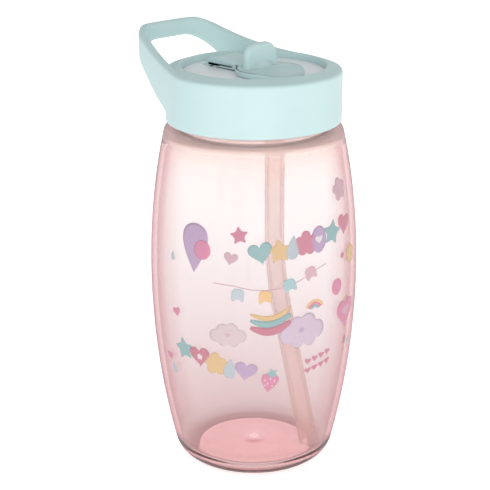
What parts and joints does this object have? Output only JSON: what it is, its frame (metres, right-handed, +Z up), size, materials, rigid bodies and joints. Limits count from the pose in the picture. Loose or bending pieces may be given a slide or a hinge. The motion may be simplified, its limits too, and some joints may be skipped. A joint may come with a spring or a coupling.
{
  "type": "kids straw water bottle",
  "caption": "Clear barrel-shaped kids water bottle with a screw cap, a fixed finger loop and a flip cover over a folding silicone straw spout.",
  "frame": {"origin": "centre of the base's flat underside, on the bottle's axis", "axes": "+Z up along the bottle, +X towards the side that is drunk from, finger loop towards -X, hinge axes along Y"},
  "size_m": [0.0838, 0.0742, 0.156],
  "materials": {
    "clear_copolyester": "gloss, transparent, tinted pink",
    "mint_polypropylene": "satin",
    "white_polypropylene": "satin",
    "clear_silicone": "matte, translucent",
    "straw_polyethylene": "translucent"
  },
  "bodies": {
    "bottle": {"bottle_body": "clear_copolyester"},
    "seal": {"cap_seal": "clear_silicone"},
    "cap": {"screw_cap": "mint_polypropylene", "lid_insert": "white_polypropylene", "spout_base": "clear_silicone", "drinking_straw": "straw_polyethylene", "vent_valve": "clear_silicone"},
    "cover": {"flip_cover": "mint_polypropylene"},
    "spout": {"spout_tip": "clear_silicone"}
  },
  "joints": [
    {"name": "cap_lift", "type": "slide", "parent": "bottle", "child": "seal", "axis": [0, 0, 1], "range_m": [0, 0.006]},
    {"name": "cap_turn", "type": "hinge", "parent": "seal", "child": "cap", "pos_m": [0, 0, 0.133], "axis": [0, 0, 1], "range_deg": [0, 360]},
    {"name": "cover_flip", "type": "hinge", "parent": "cap", "child": "cover", "pos_m": [-0.0135, 0, 0.1396], "axis": [0, -1, 0], "range_deg": [0, 90]},
    {"name": "spout_rise", "type": "hinge", "parent": "cap", "child": "spout", "pos_m": [0.0105, 0, 0.137], "axis": [0, 1, 0], "range_deg": [0, 81]}
  ],
  "couplings": [
    {"joint": "cap_lift", "follows": "cap_turn", "m_per_rad": 0.00095492},
    {"joint": "spout_rise", "follows": "cover_flip", "ratio": 0.9}
  ]
}
